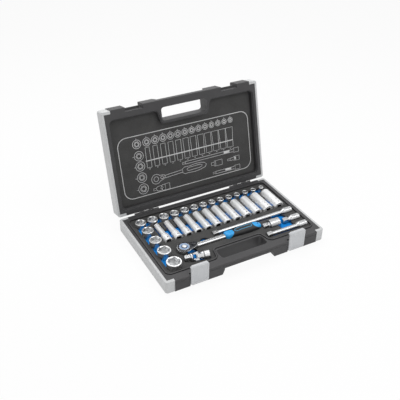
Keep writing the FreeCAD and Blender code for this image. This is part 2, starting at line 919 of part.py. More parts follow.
def ratchet_body():
    """Head with its gear and pawl chambers, and the shaft with its tang."""
    head = prism(head_wire(0, head_bottom), head_thickness)
    start = neck_reach - shaft_height
    shaft = Part.Face(bar_section(shaft_width, shaft_height, shaft_corner, start))
    shaft = shaft.extrude(point(grip_start - start, 0, 0))
    body = joined(head, [shaft, tang()])
    low = head_bottom + head_floor
    gear_bore = rod(gear_bore_radius, point(0, 0, low), Z_AXIS, tall)
    drive_bore = rod(drive_boss_radius + running_clearance, point(0, 0, 0), Z_AXIS, tall)
    room = pawl_half_width + pawl_room
    pawl_bore = box(0, pawl_start + pawl_length + pawl_room, -room, room, low, tall)
    start = point(lever_place, 0, lever_shaft_bottom())
    shaft_bore = rod(lever_shaft_radius + running_clearance, start, Z_AXIS, tall)
    x0 = shaft_panel_start
    x1 = x0 + shaft_panel_length
    half = shaft_panel_width / 2
    top = handle_height + shaft_height / 2
    panel = rounded_box(x0, x1, -half, half, top - shaft_panel_depth, tall, half)
    body = body.cut([gear_bore, drive_bore, pawl_bore, shaft_bore, panel])
    pin = rod(pawl_pin_radius, point(pawl_pivot, 0, low - past), Z_AXIS, gear_height + past)
    return joined(body, [pin])


def ratchet_cover():
    plate = prism(head_wire(-cover_inset, head_top()), cover_thickness)
    limit = box(-tall, lever_place + lever_radius, -tall, tall, 0, tall)
    dial_hole = rod(dial_radius + pawl_clearance / 2, point(0, 0, 0), Z_AXIS, tall)
    lever_hole = rod(lever_shaft_radius + running_clearance, point(lever_place, 0, 0), Z_AXIS, tall)
    return plate.common(limit).cut([dial_hole, lever_hole])


def gear_wire(z):
    points = []
    for i in range(2 * gear_teeth):
        angle = math.pi * i / gear_teeth
        radius = gear_tip_radius - tooth_depth * (i % 2)
        points.append(point(radius * math.cos(angle), radius * math.sin(angle), z))
    return Part.makePolygon(points + points[:1])


def button_bottom():
    return cover_top() + dial_proud - button_depth


def cover_top():
    return head_top() + cover_thickness


def drive_end():
    return head_bottom - male_length


def upright_square(shape):
    """Square end turned to point down from the head."""
    return shape.rotated(ORIGIN, Y_AXIS, -90).translated(point(0, 0, drive_end()))


def ratchet_drive():
    """Toothed wheel with its dial above and the square drive below."""
    low = head_bottom + head_floor + running_clearance
    wheel = prism(gear_wire(low), gear_height)
    boss = rod(drive_boss_radius, point(0, 0, head_bottom), Z_AXIS, head_floor + past)
    dial = rod(dial_radius, point(0, 0, low + past), Z_AXIS, cover_top() + dial_proud - low - past)
    square = upright_square(male_square(male_length + past))
    drive = joined(wheel, [boss, dial, square])
    bore_low = button_bottom() - button_travel - past
    bore = rod(button_radius + running_clearance, point(0, 0, bore_low), Z_AXIS, tall)
    groove = rod(button_radius + running_clearance + dial_groove_width,
                 point(0, 0, cover_top() + dial_proud - dial_groove_depth), Z_AXIS, tall)
    stem_low = bore_low - button_rod_length
    stem = rod(button_rod_radius + running_clearance, point(0, 0, stem_low), Z_AXIS, tall)
    seat = upright_square(ball_seat(press_clearance))
    hole = upright_square(ball_bore())
    return drive.cut([bore, groove, stem, seat, hole])


def detent_ball():
    return upright_square(ball_seat(0))


def ratchet_button():
    top = cover_top() + dial_proud + button_proud
    height = top - button_bottom()
    edge = control_edge
    head = upright([(0, button_radius), (height - edge, button_radius), (height, button_radius - edge)])
    head = head.translated(point(0, 0, button_bottom()))
    low = button_bottom() - button_rod_length
    stem = rod(button_rod_radius, point(0, 0, low), Z_AXIS, button_rod_length + past)
    return joined(head, [stem])


def lever_shaft_bottom():
    return cover_top() - lever_shaft_length


def ratchet_lever():
    """Reversing lever with its thumb tab, on a short shaft."""
    low = cover_top() + running_clearance
    start = point(lever_place, 0, lever_shaft_bottom() + past)
    shaft = rod(lever_shaft_radius, start, Z_AXIS, lever_shaft_length)
    edge = lever_thickness - control_edge
    disc = upright([(0, lever_radius), (edge, lever_radius), (lever_thickness, lever_radius - control_edge)])
    disc = disc.translated(point(lever_place, 0, low))
    half = lever_tab_width / 2
    reach = lever_place + lever_tab_length
    tab = rounded_box(lever_place, reach, -half, half, low, low + lever_thickness, half)
    return joined(disc, [shaft, tab])


def ratchet_pawl():
    low = head_bottom + head_floor + running_clearance
    half = pawl_half_width
    block = box(pawl_start - pawl_length, pawl_start + pawl_length, -half, half, low, low + gear_height)
    wheel_room = rod(gear_tip_radius + pawl_clearance, ORIGIN, Z_AXIS, tall)
    pivot_bore = rod(pawl_pin_radius + running_clearance, point(pawl_pivot, 0), Z_AXIS, tall)
    return block.cut([wheel_room, pivot_bore])


def grip_blank():
    wires = []
    for along, width, height in zip(grip_lengths, grip_widths, grip_heights):
        corner = height * grip_corner_share
        wires.append(bar_section(width, height, corner, grip_start + along))
    return Part.makeLoft(wires, True, False)


def grip_pieces():
    """Rubber middle of the grip, and the blue front collar and end."""
    hole_x = grip_start + grip_lengths[-1] - hang_hole_inset
    hang = rod(hang_hole_radius, point(hole_x, 0, 0), Z_AXIS, tall)
    blank = grip_blank().cut([tang(), hang])
    front = grip_start + grip_front_length
    end = grip_start + grip_lengths[-1] - grip_end_length
    middle = blank.common(box(front, end, -tall, tall, 0, tall))
    collar = blank.common(box(0, front, -tall, tall, 0, tall))
    tail = blank.common(box(end, tall + end, -tall, tall, 0, tall))
    return middle, collar, tail


def ratchet_place():
    return point(-cavity_x + ratchet_left_inset, bulge_back + ratchet_head_gap + head_radius, 0)


def trough(place, length, radius):
    """Round-bottomed pocket along X, open upwards."""
    x0 = place.x - foam_fit
    x1 = place.x + length + foam_fit
    half = radius + foam_fit
    pocket = rod(half, point(x0, place.y, place.z), X_AXIS, x1 - x0)
    above = box(x0, x1, place.y - half, place.y + half, place.z, tall)
    return [pocket, above]


def bar_pocket(place, length, thick_from, thin, thick):
    """Pocket of a bar that is thin first and thick from the given distance on."""
    head = FreeCAD.Vector(place.x + thick_from, place.y, place.z)
    return trough(place, length, thin) + trough(head, length - thick_from, thick)


def joint_pocket():
    """Pocket of the universal joint, which lies high in the foam."""
    body = rod(yoke_radius + joint_fit, point(male_length - foam_fit, 0, 0), X_AXIS,
               joint_length() - male_length + foam_fit + joint_swing_room)
    side = drive_square / 2 + foam_fit
    square = box(-foam_fit, male_length, -side, side, -side, tall)
    return [in_joint_place(body), in_joint_place(square)]


def ratchet_pocket():
    place = ratchet_place()
    head = prism(head_wire(2 * foam_fit, head_bottom - foam_edge_gap), tall)
    square = rod(drive_boss_radius + foam_fit, point(0, 0, drive_end() - foam_edge_gap), Z_AXIS, tall)
    half = shaft_width / 2 + foam_fit
    low = handle_height - shaft_height / 2 - foam_edge_gap
    shaft = box(neck_reach - past, grip_start + past, -half, half, low, tall)
    outline = [(grip_start + a, w / 2 + grip_fit) for a, w in zip(grip_lengths, grip_widths)]
    end = grip_start + grip_lengths[-1] + foam_fit
    outline = outline[:-1] + [(end, grip_widths[-1] / 2 + grip_fit)]
    low = handle_height - max(grip_heights) / 2 - foam_edge_gap
    points = [point(x, y, low) for x, y in outline] + [point(x, -y, low) for x, y in reversed(outline)]
    grip = prism(Part.makePolygon(points + points[:1]), tall)
    return [moved(shape, place) for shape in (head, square, shaft, grip)]


def tool_pockets():
    """Hollows that hold the tools, open upwards."""
    cuts = []
    for size, (x, y) in short_places():
        cuts.append(rod(widest(size) / 2 + foam_fit, point(x, y, socket_floor), Z_AXIS, tall))
    for size, (x, y, z) in deep_places():
        radius = widest(size) / 2 + foam_fit
        start = y - foam_fit
        end = y + deep_length + foam_fit
        cuts.append(rod(radius, point(x, start, z), Y_AXIS, end - start))
        cuts.append(box(x - radius, x + radius, start, end, z, tall))
    thin = drive_square / math.sqrt(2)
    for name, place in bar_places().items():
        thick_from = bar_lengths[name] - female_length - bar_cone_length
        cuts += bar_pocket(place, bar_lengths[name], thick_from, thin, female_radius)
    cuts += bar_pocket(adapter_place(), adapter_length, male_length, thin, adapter_radius)
    return cuts + joint_pocket() + ratchet_pocket()


def finger_slots():
    """Cut-outs through the upper foam layer, where the lower layer shows."""
    z0 = foam_split
    row_y = cavity_back - back_row_inset
    x0 = -cavity_x + row_end_inset
    half = row_slot_width / 2
    slots = [box(x0, -x0, row_y - half, row_y + half, z0, tall)]
    half = column_slot_width / 2
    slots.append(box(x0 - half, x0 + half, cavity_front + column_front_inset, row_y, z0, tall))
    deep = deep_places()
    y0 = deep[0][1][1] + deep_slot_start
    left = deep[0][1][0] - drive_end_diameter / 2
    right = deep[-1][1][0] + drive_end_diameter / 2
    slots.append(box(left, right, y0, y0 + deep_slot_width, z0, tall))
    ratchet = ratchet_place()
    thumb = point(ratchet.x + thumb_well_place, ratchet.y + thumb_well_offset, z0)
    slots.append(rod(thumb_well_radius, thumb, Z_AXIS, tall))
    joint = joint_point(joint_pivot())
    half = joint_well_width / 2
    slots.append(rounded_box(joint.x - half, joint.x + half, joint.y, ratchet.y, z0, tall, joint_well_radius))
    short_bar = bar_places()["short"]
    x1 = short_bar.x + finger_well_width / 2
    y1 = bar_places()["long"].y - bar_radius
    x0 = x1 - finger_well_width
    y0 = y1 - finger_well_length
    slots.append(rounded_box(x0, x1, y0, y1, z0, tall, finger_well_radius))
    return slots


def tray_foam():
    """Upper and lower foam layers of the tray."""
    outline = cavity_wire(-foam_edge_gap, floor_thickness)
    lower = prism(outline, foam_split - floor_thickness)
    upper = prism(cavity_wire(-foam_edge_gap, foam_split), foam_top - foam_split)
    pockets = tool_pockets()
    return upper.cut(pockets + finger_slots()), lower.cut(pockets)


def lid_foam():
    low = lid_rim_height + lid_foam_drop
    high = lid_rim_height + lid_height - floor_thickness
    return prism(cavity_wire(-foam_edge_gap, low), high - low)


def save(name, *solids):
    shape = solids[0] if len(solids) == 1 else Part.makeCompound(list(solids))
    shape.exportStep("parts/" + name + ".step")


def save_case():
    save("base_shell", base_shell())
    right = end_cap(base_height)
    save("base_right_cap", right)
    save("base_left_cap", right.mirror(ORIGIN, X_AXIS))
    save("lid_shell", opened(lid_shell()))
    right = turn_over(end_cap(lid_height))
    save("lid_right_cap", opened(right))
    save("lid_left_cap", opened(right.mirror(ORIGIN, X_AXIS)))
    save("lid_foam", opened(lid_foam()))
    upper, lower = tray_foam()
    save("tray_foam_top", upper)
    save("tray_foam_base", lower)
    save("latch_left", latch(latch_centres[0]))
    save("latch_right", latch(latch_centres[1]))
    save("latch_pins", *latch_pins())
    save("hinge_pins", *hinge_pins())


def save_sockets():
    for size, (x, y) in short_places():
        save("socket_%02d" % size, short_socket(size).translated(point(x, y, socket_floor)))
    for size, (x, y, z) in deep_places():
        lying = deep_socket(size).rotated(ORIGIN, X_AXIS, -90)
        save("deep_socket_%02d" % size, lying.translated(point(x, y, z)))


def save_bars():
    for name, place in bar_places().items():
        save("extension_" + name, *[moved(s, place) for s in extension_bar(bar_lengths[name])])
    save("adapter", *[moved(s, adapter_place()) for s in adapter()])
    save("joint_drive_yoke", *[in_joint_place(s) for s in drive_yoke()])
    save("joint_cross", in_joint_place(joint_cross()))
    save("joint_socket_yoke", in_joint_place(socket_yoke()))


def save_ratchet():
    place = ratchet_place()
    middle, collar, tail = grip_pieces()
    pieces = {
        "ratchet_body": [ratchet_body()],
        "ratchet_cover": [ratchet_cover()],
        "ratchet_drive": [ratchet_drive()],
        "ratchet_ball": [detent_ball()],
        "ratchet_button": [ratchet_button()],
        "ratchet_lever": [ratchet_lever()],
        "ratchet_pawl": [ratchet_pawl()],
        "ratchet_grip": [middle],
        "ratchet_grip_trim": [collar, tail],
    }
    for name, solids in pieces.items():
        save(name, *[moved(s, place) for s in solids])


os.makedirs("parts", exist_ok=True)
save_case()
save_sockets()
save_bars()
save_ratchet()
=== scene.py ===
import json
import math
import bpy
import bmesh
from mathutils import Matrix, Vector
from mathutils.bvhtree import BVHTree


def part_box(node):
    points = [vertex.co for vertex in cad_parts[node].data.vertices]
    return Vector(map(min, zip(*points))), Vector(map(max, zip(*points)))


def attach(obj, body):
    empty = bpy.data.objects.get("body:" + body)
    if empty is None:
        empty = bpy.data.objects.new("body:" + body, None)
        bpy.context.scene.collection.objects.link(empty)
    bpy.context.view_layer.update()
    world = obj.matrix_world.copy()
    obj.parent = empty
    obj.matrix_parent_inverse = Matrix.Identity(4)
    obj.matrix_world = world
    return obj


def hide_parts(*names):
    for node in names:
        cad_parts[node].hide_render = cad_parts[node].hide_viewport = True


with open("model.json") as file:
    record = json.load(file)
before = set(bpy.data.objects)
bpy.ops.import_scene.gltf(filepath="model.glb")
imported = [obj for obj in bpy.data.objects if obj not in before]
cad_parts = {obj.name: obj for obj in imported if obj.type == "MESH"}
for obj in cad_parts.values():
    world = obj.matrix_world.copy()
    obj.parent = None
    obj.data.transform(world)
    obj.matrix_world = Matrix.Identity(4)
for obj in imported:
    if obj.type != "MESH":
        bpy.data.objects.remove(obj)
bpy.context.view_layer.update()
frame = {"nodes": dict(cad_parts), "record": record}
nodes = frame["nodes"]
scene = bpy.context.scene
MM = 0.001


def joint(name):
    return [j for j in frame["record"]["behaviour"]["joints"] if j["name"] == name][0]


def lid_opening():
    """Turn that takes the shut lid to where it stands open at rest."""
    hinge = joint("lid_hinge")
    place = Matrix.Translation(hinge["pos_m"])
    swing = Matrix.Rotation(-math.radians(hinge["range_deg"][1]), 4, "X")
    return place @ swing @ place.inverted()


LID_OPENING = lid_opening()


def shut_foam_face():
    """Height of the lid's foam over the floor when the lid is shut, in millimetres."""
    shutting = LID_OPENING.inverted()
    lowest = min((shutting @ vert.co).z for vert in nodes["lid_foam"].data.vertices)
    return round(lowest / MM, 3)


# Places and sizes that the pieces below are set by, in millimetres
LID_FOAM_FACE = shut_foam_face()
RATCHET_X, RATCHET_Y = [c / MM for c in joint("drive_spin")["pos_m"][:2]]
DIAL_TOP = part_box("ratchet_drive")[1][2] / MM
DEEP_SIZES = sorted(int(name.split("_")[-1]) for name in nodes if name.startswith("deep_socket"))
DEEP_MARK_FROM_FRONT = 20.0

# Print on the lid's foam, in millimetres
INK_FILM = 0.2
BORDER_STROKE = 1.9
BAND_STROKE = 2.8
TOOL_STROKE = 1.1
SOCKET_STROKE = 1.15
BLOCK_STROKE = 9.0

# Stretches of the turning marks, with the largest number along the tool's axis
ALONG_X = (2500.0, 40.0, 40.0)
ALONG_Y = (40.0, 2500.0, 40.0)
ALONG_Z = (40.0, 40.0, 2500.0)
COARSE_ALONG_X = (900.0, 60.0, 60.0)
COARSE_ALONG_Z = (60.0, 60.0, 900.0)

# Rubbed edges, and the depth of relief and the rounding of edges, in metres
PLASTIC_WEAR = {"Radius": 0.0014, "Breakup": 90.0}
METAL_WEAR = {"Radius": 0.0006, "Breakup": 200.0}
RUBBED_CHROME = (0.94, 0.94, 0.945)
DULL_CHROME_SHARE = 0.9
PLASTIC_RELIEF = 0.0003
PLASTIC_EDGE = 0.0007
METAL_RELIEF = 0.0001
METAL_EDGE = 0.0003
FOAM_RELIEF = 0.0004

# Part of a noise that makes a full change, and how far roughness strays from its base
NOISE_SPAN = (0.3, 0.7)
PLASTIC_STRAY = (-0.04, 0.05)
METAL_STRAY = 0.14

# Painted shade in the bores: its colour, and how far in metres a wall counts as shutting a place in
BORE_SHADE = (0.04, 0.04, 0.042)
BORE_REACH = 0.015


# Small helpers for node trees

def add_node(tree, kind, **settings):
    node = tree.nodes.new(kind)
    for key, value in settings.items():
        setattr(node, key, value)
    return node


def feed(tree, source, target):
    tree.links.new(source, target)


def new_group(name, inputs, outputs):
    """Shader node group with float or vector inputs, given as name: default."""
    tree = bpy.data.node_groups.new(name, "ShaderNodeTree")
    for label, default in inputs.items():
        kind = "NodeSocketVector" if isinstance(default, tuple) else "NodeSocketFloat"
        socket = tree.interface.new_socket(label, in_out="INPUT", socket_type=kind)
        socket.default_value = default
    for label in outputs:
        tree.interface.new_socket(label, in_out="OUTPUT", socket_type="NodeSocketFloat")
    start = tree.nodes.new("NodeGroupInput")
    end = tree.nodes.new("NodeGroupOutput")
    return tree, start, end


def math_node(tree, operation, a, b=None, clamp=False):
    node = add_node(tree, "ShaderNodeMath", operation=operation, use_clamp=clamp)
    for socket, value in zip(node.inputs, (a, b)):
        if value is None:
            continue
        if isinstance(value, (int, float)):
            socket.default_value = value
        else:
            feed(tree, value, socket)
    return node.outputs[0]


def remap(tree, value, low, high, to_low=0.0, to_high=1.0):
    node = add_node(tree, "ShaderNodeMapRange")
    feed(tree, value, node.inputs[0])
    for i, number in enumerate((low, high, to_low, to_high)):
        node.inputs[i + 1].default_value = number
    return node.outputs[0]


def noise_at(tree, place, scale, detail):
    node = add_node(tree, "ShaderNodeTexNoise")
    node.inputs["Scale"].default_value = scale
    node.inputs["Detail"].default_value = detail
    feed(tree, place, node.inputs["Vector"])
    return node


def object_place(tree):
    return add_node(tree, "ShaderNodeTexCoord").outputs["Object"]


# Effects shared by several materials

def make_moulded_grain():
    """Pebbled skin of moulded plastic: a height for bump, a slow shade change and specks."""
    tree, start, end = new_group("moulded_grain", {"Scale": 1600.0}, ["Height", "Shade", "Speck"])
    place = object_place(tree)
    fine = noise_at(tree, place, 1.0, 2.0)
    slow = noise_at(tree, place, 1.0, 4.0)
    specks = noise_at(tree, place, 1.0, 1.0)
    cells = add_node(tree, "ShaderNodeTexVoronoi", feature="SMOOTH_F1")
    cells.inputs["Smoothness"].default_value = 0.6
    feed(tree, place, cells.inputs["Vector"])
    for node, share in ((fine, 1.0), (cells, 0.6), (slow, 0.012), (specks, 0.32)):
        feed(tree, math_node(tree, "MULTIPLY", start.outputs["Scale"], share), node.inputs["Scale"])
    height = math_node(tree, "ADD", fine.outputs["Fac"], cells.outputs["Distance"])
    feed(tree, height, end.inputs["Height"])
    feed(tree, remap(tree, slow.outputs["Fac"], *NOISE_SPAN), end.inputs["Shade"])
    feed(tree, remap(tree, specks.outputs["Fac"], 0.4, 0.65), end.inputs["Speck"])
    return tree


def make_edge_wear():
    """Mask of rubbed outer edges, broken up along their length."""
    tree, start, end = new_group("edge_wear", {"Radius": 0.001, "Breakup": 60.0}, ["Mask"])
    soft = add_node(tree, "ShaderNodeBevel", samples=4)
    feed(tree, start.outputs["Radius"], soft.inputs["Radius"])
    sharp = add_node(tree, "ShaderNodeNewGeometry")
    dot = add_node(tree, "ShaderNodeVectorMath", operation="DOT_PRODUCT")
    feed(tree, soft.outputs["Normal"], dot.inputs[0])
    feed(tree, sharp.outputs["Normal"], dot.inputs[1])
    noise = noise_at(tree, object_place(tree), 1.0, 5.0)
    feed(tree, start.outputs["Breakup"], noise.inputs["Scale"])
    edge = remap(tree, dot.outputs["Value"], 0.98, 0.8)
    broken = remap(tree, noise.outputs["Fac"], 0.3, 0.6, 0.25, 1.0)
    feed(tree, math_node(tree, "MULTIPLY", edge, broken, clamp=True), end.inputs["Mask"])
    return tree


def make_turned_finish():
    """Fine turning marks round a tool; Stretch has its largest number along the tool's axis."""
    tree, start, end = new_group("turned_finish", {"Stretch": ALONG_Z}, ["Height", "Rough"])
    place = object_place(tree)
    scale = add_node(tree, "ShaderNodeVectorMath", operation="MULTIPLY")
    feed(tree, place, scale.inputs[0])
    feed(tree, start.outputs["Stretch"], scale.inputs[1])
    rings = noise_at(tree, scale.outputs["Vector"], 1.0, 3.0)
    smudge = noise_at(tree, place, 55.0, 6.0)
    feed(tree, rings.outputs["Fac"], end.inputs["Height"])
    both = math_node(tree, "ADD", remap(tree, rings.outputs["Fac"], *NOISE_SPAN, 0.0, 0.5),
                     remap(tree, smudge.outputs["Fac"], 0.4, 0.75, 0.0, 0.5))
    feed(tree, both, end.inputs["Rough"])
    return tree


def make_foam_cells():
    """Closed foam cells: a height for bump, painted glints where cells catch the light, a slow shade
    change.
    """
    tree, start, end = new_group("foam_cells", {"Scale": 1100.0}, ["Height", "Speck", "Shade"])
    place = object_place(tree)
    cells = add_node(tree, "ShaderNodeTexVoronoi", feature="F1")
    feed(tree, place, cells.inputs["Vector"])
    specks = noise_at(tree, place, 1.0, 1.0)
    slow = noise_at(tree, place, 22.0, 5.0)
    feed(tree, start.outputs["Scale"], cells.inputs["Scale"])
    feed(tree, math_node(tree, "MULTIPLY", start.outputs["Scale"], 1.7), specks.inputs["Scale"])
    feed(tree, cells.outputs["Distance"], end.inputs["Height"])
    feed(tree, remap(tree, specks.outputs["Fac"], 0.58, 0.75), end.inputs["Speck"])
    feed(tree, remap(tree, slow.outputs["Fac"], *NOISE_SPAN), end.inputs["Shade"])
    return tree


GRAIN = make_moulded_grain()
WEAR = make_edge_wear()
TURNED = make_turned_finish()
CELLS = make_foam_cells()


# Materials

def new_material(name, **sockets):
    material = bpy.data.materials.new(name)
    material.use_nodes = True
    shader = material.node_tree.nodes["Principled BSDF"]
    for label, value in sockets.items():
        shader.inputs[label.replace("_", " ")].default_value = value
    return material, material.node_tree, shader


def use_group(tree, group, **values):
    node = add_node(tree, "ShaderNodeGroup", node_tree=group)
    for label, value in values.items():
        node.inputs[label].default_value = value
    return node


def blend_colour(tree, factor, low, high):
    """Colour between two, each an (r, g, b) or a socket."""
    node = add_node(tree, "ShaderNodeMix", data_type="RGBA")
    feed(tree, factor, node.inputs["Factor"])
    for label, value in (("A", low), ("B", high)):
        socket = [s for s in node.inputs if s.name == label and s.type == "RGBA"][0]
        if isinstance(value, tuple):
            socket.default_value = value + (1.0,)
        else:
            feed(tree, value, socket)
    return [s for s in node.outputs if s.type == "RGBA"][0]


def add_bump(tree, shader, height, strength, distance, edge_radius):
    """Surface relief on top of slightly rounded edges."""
    bump = add_node(tree, "ShaderNodeBump")
    bump.inputs["Strength"].default_value = strength
    bump.inputs["Distance"].default_value = distance
    feed(tree, height, bump.inputs["Height"])
    if edge_radius:
        soft = add_node(tree, "ShaderNodeBevel", samples=4)
        soft.inputs["Radius"].default_value = edge_radius
        feed(tree, soft.outputs["Normal"], bump.inputs["Normal"])
    feed(tree, bump.outputs["Normal"], shader.inputs["Normal"])


def coordinates_from(tree, x, y):
    """Object coordinates, in metres, counted from a point given in millimetres."""
    centre = add_node(tree, "ShaderNodeMapping")
    centre.inputs["Location"].default_value = (-x * MM, -y * MM, 0.0)
    feed(tree, object_place(tree), centre.inputs["Vector"])
    split = add_node(tree, "ShaderNodeSeparateXYZ")
    feed(tree, centre.outputs["Vector"], split.inputs[0])
    return split.outputs


def moulded_plastic(name, dark, light, edge, rough, scale, bump, mottle=0.0):
    material, tree, shader = new_material(name, IOR=1.46)
    grain = use_group(tree, GRAIN, Scale=scale)
    wear = use_group(tree, WEAR, **PLASTIC_WEAR)
    colour = blend_colour(tree, grain.outputs["Shade"], dark, light)
    if mottle:
        flecks = math_node(tree, "MULTIPLY", grain.outputs["Speck"], mottle)
        colour = blend_colour(tree, flecks, colour, edge)
    colour = blend_colour(tree, wear.outputs["Mask"], colour, edge)
    feed(tree, colour, shader.inputs["Base Color"])
    less, more = PLASTIC_STRAY
    spread = remap(tree, grain.outputs["Shade"], 0.0, 1.0, rough + less, rough + more)
    feed(tree, spread, shader.inputs["Roughness"])
    add_bump(tree, shader, grain.outputs["Height"], bump, PLASTIC_RELIEF, PLASTIC_EDGE)
    return material


def darken_bores(tree, colour):
    """Colour that turns to painted shade where a bore of the same piece shuts the place in."""
    look = add_node(tree, "ShaderNodeAmbientOcclusion", samples=4, only_local=True)
    look.inputs["Distance"].default_value = BORE_REACH
    return blend_colour(tree, remap(tree, look.outputs["AO"], 0.3, 0.95), BORE_SHADE, colour)


def satin_chrome(name, stretch, colour, rough, painted_bore_shade=False):
    """Turned chrome; with the bore option on, shade is painted into the bores."""
    material, tree, shader = new_material(name, Metallic=1.0)
    finish = use_group(tree, TURNED, Stretch=stretch)
    wear = use_group(tree, WEAR, **METAL_WEAR)
    low = tuple(c * DULL_CHROME_SHARE for c in colour)
    tone = blend_colour(tree, finish.outputs["Rough"], colour, low)
    tone = blend_colour(tree, wear.outputs["Mask"], tone, RUBBED_CHROME)
    if painted_bore_shade:
        # painted shade: the colour darkens inside the piece's own bores
        tone = darken_bores(tree, tone)
    feed(tree, tone, shader.inputs["Base Color"])
    spread = remap(tree, finish.outputs["Rough"], 0.0, 1.0, rough, rough + METAL_STRAY)
    feed(tree, spread, shader.inputs["Roughness"])
    add_bump(tree, shader, finish.outputs["Height"], 0.02, METAL_RELIEF, METAL_EDGE)
    return material


def dial_chrome(name):
    """Satin chrome with a pale blue ring round the button and, inside it, a groove whose shade is
    painted near black.
    """
    material, tree, shader = new_material(name)
    finish = use_group(tree, TURNED, Stretch=ALONG_Z)
    place = coordinates_from(tree, RATCHET_X, RATCHET_Y)
    square = math_node(tree, "ADD", math_node(tree, "MULTIPLY", place[0], place[0]),
                       math_node(tree, "MULTIPLY", place[1], place[1]))
    radius = math_node(tree, "SQRT", square)
    painted_from = DIAL_TOP - 1.5
    high = remap(tree, place[2], (painted_from - 0.1) * MM, (painted_from + 0.1) * MM)

    def band(inner, outer):
        """1 between two radii in millimetres, on the dial's top."""
        soft = 0.15
        rise = remap(tree, radius, (inner - soft) * MM, (inner + soft) * MM)
        fall = remap(tree, radius, (outer - soft) * MM, (outer + soft) * MM, 1.0, 0.0)
        return math_node(tree, "MULTIPLY", math_node(tree, "MULTIPLY", rise, fall), high)

    # painted shade: the groove's darkness is a colour band on the dial's top
    groove_inner, groove_outer = 5.0, 7.66
    rim_inner, ring_inner, ring_outer, rim_outer = 7.7, 8.6, 12.2, 13.0
    ring = band(ring_inner, ring_outer)
    rims = math_node(tree, "ADD", band(rim_inner, ring_inner), band(ring_outer, rim_outer), clamp=True)
    groove = band(groove_inner, groove_outer)
    chrome = blend_colour(tree, finish.outputs["Rough"], (0.88, 0.885, 0.89), (0.79, 0.795, 0.8))
    colour = blend_colour(tree, ring, chrome, (0.30, 0.43, 0.60))
    colour = blend_colour(tree, rims, colour, (0.05, 0.12, 0.36))
    # painted shade of the groove round the button
    colour = blend_colour(tree, groove, colour, (0.015, 0.016, 0.02))
    feed(tree, colour, shader.inputs["Base Color"])
    painted = math_node(tree, "ADD", math_node(tree, "ADD", ring, rims), groove, clamp=True)
    feed(tree, remap(tree, painted, 0.0, 1.0, 1.0, 0.0), shader.inputs["Metallic"])
    rough = 0.3
    spread = remap(tree, finish.outputs["Rough"], 0.0, 1.0, rough, rough + METAL_STRAY)
    feed(tree, spread, shader.inputs["Roughness"])
    add_bump(tree, shader, finish.outputs["Height"], 0.06, METAL_RELIEF, METAL_EDGE)
    return material


def two_shot_grip(name):
    """Black rubber over blue plastic: the blue shows on top of both ends, in slanting tongues."""
    material, tree, shader = new_material(name, IOR=1.46)
    rubber = use_group(tree, GRAIN, Scale=2200.0)
    wear = use_group(tree, WEAR, **PLASTIC_WEAR)
    place = coordinates_from(tree, 0.0, 0.0)
    soft = 0.25 * MM

    def beyond(slope, edge):
        """1 where x plus slope times z is over edge, in millimetres."""
        reach = math_node(tree, "ADD", place[0], math_node(tree, "MULTIPLY", place[2], slope))
        return remap(tree, reach, edge * MM - soft, edge * MM + soft)

    collar_slope, collar_edge = -1.25, -46.2
    end_slope, end_edge = 1.8, 152.0
    collar = math_node(tree, "SUBTRACT", 1.0, beyond(collar_slope, collar_edge))
    end = beyond(end_slope, end_edge)
    blue = math_node(tree, "ADD", collar, end, clamp=True)
    black = blend_colour(tree, rubber.outputs["Shade"], (0.012, 0.012, 0.013), (0.02, 0.02, 0.021))
    black = blend_colour(tree, wear.outputs["Mask"], black, (0.045, 0.045, 0.047))
    bright = blend_colour(tree, rubber.outputs["Shade"], (0.015, 0.33, 0.78), (0.03, 0.40, 0.86))
    bright = blend_colour(tree, wear.outputs["Mask"], bright, (0.16, 0.52, 0.9))
    feed(tree, blend_colour(tree, blue, black, bright), shader.inputs["Base Color"])
    rubber_rough, blue_rough, blue_relief = 0.55, 0.34, 0.3
    spread = remap(tree, rubber.outputs["Shade"], 0.0, 1.0, *PLASTIC_STRAY)
    base = remap(tree, blue, 0.0, 1.0, rubber_rough, blue_rough)
    feed(tree, math_node(tree, "ADD", spread, base), shader.inputs["Roughness"])
    depth = remap(tree, blue, 0.0, 1.0, 1.0, blue_relief)
    relief = math_node(tree, "MULTIPLY", rubber.outputs["Height"], depth)
    add_bump(tree, shader, relief, 0.4, PLASTIC_RELIEF, PLASTIC_EDGE)
    return material


def cut_foam(name, dark, light, painted_glint):
    material, tree, shader = new_material(name, Roughness=0.88, Specular_IOR_Level=0.25)
    cells = use_group(tree, CELLS)
    colour = blend_colour(tree, cells.outputs["Shade"], dark, light)
    # painted glints: the paler specks stand for light caught by the foam's cells
    colour = blend_colour(tree, cells.outputs["Speck"], colour, painted_glint)
    feed(tree, colour, shader.inputs["Base Color"])
    add_bump(tree, shader, cells.outputs["Height"], 0.5, FOAM_RELIEF, 0.0)
    return material


def print_ink(name, colour, thin):
    """Slightly patchy screen print; thin is the share of colour left in the thin places."""
    material, tree, shader = new_material(name, Roughness=0.6)
    grain = use_group(tree, GRAIN, Scale=2600.0)
    low = tuple(c * thin for c in colour)
    feed(tree, blend_colour(tree, grain.outputs["Shade"], low, colour), shader.inputs["Base Color"])
    return material


